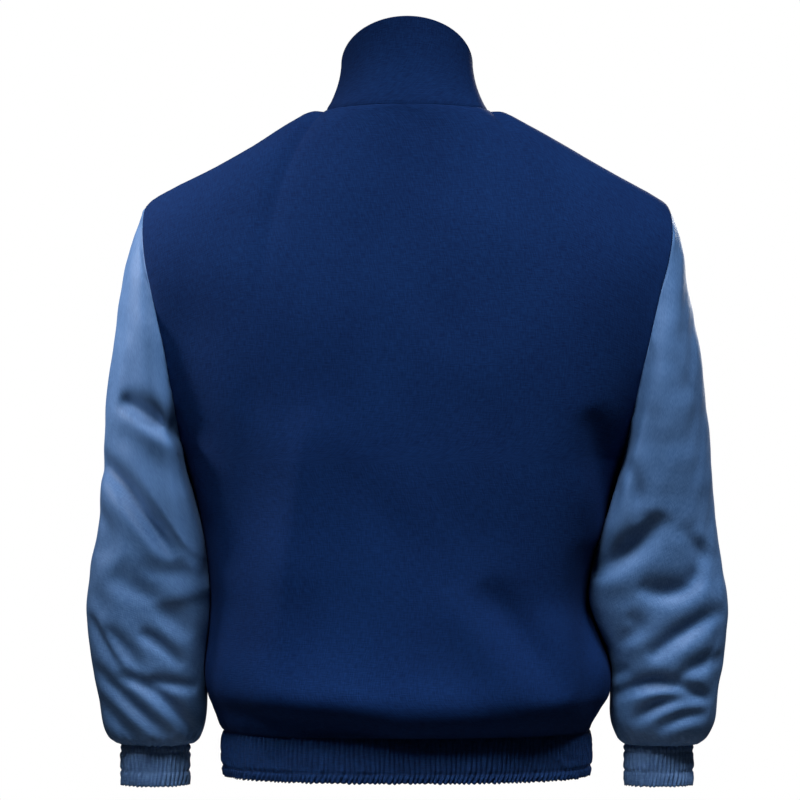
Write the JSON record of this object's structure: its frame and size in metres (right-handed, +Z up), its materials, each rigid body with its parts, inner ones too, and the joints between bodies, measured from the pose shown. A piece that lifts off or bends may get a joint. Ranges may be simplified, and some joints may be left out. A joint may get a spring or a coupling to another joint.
{
  "type": "track jacket",
  "caption": "Hip-length zip track jacket worn open-bodied and hollow: navy body and stand collar, blue sleeves, gathered cuffs and hem.",
  "frame": {"origin": "middle of the neck opening, level with the collar seam at the centre back, where the wearer's neck and shoulders hold the jacket", "axes": "+Z up, the fronts and zip face -Y, the back faces +Y, the wearer's left is +X"},
  "size_m": [0.6414, 0.2842, 0.7631],
  "materials": {
    "navy_cloth": "matt woven",
    "blue_cloth": "matt woven",
    "hem_cloth": "matt woven, gathered",
    "cuff_cloth": "matt woven, gathered",
    "zip_tape": "woven tape",
    "zip_metal": "satin"
  },
  "bodies": {
    "jacket": {"back": "navy_cloth", "front_left": "navy_cloth", "front_right": "navy_cloth", "collar": "navy_cloth", "hem_band": "hem_cloth", "sleeve_left": "blue_cloth", "sleeve_right": "blue_cloth", "cuff_left": "cuff_cloth", "cuff_right": "cuff_cloth", "zip_tape_left": "zip_tape", "zip_tape_right": "zip_tape", "zip_slider": "zip_metal"},
    "pull": {"zip_pull": "zip_metal"}
  },
  "joints": [
    {"name": "pull_hinge", "type": "hinge", "parent": "jacket", "child": "pull", "pos_m": [0, -0.06211, -0.00504], "axis": [-1, 0, 0], "range_deg": [0, 160]}
  ]
}
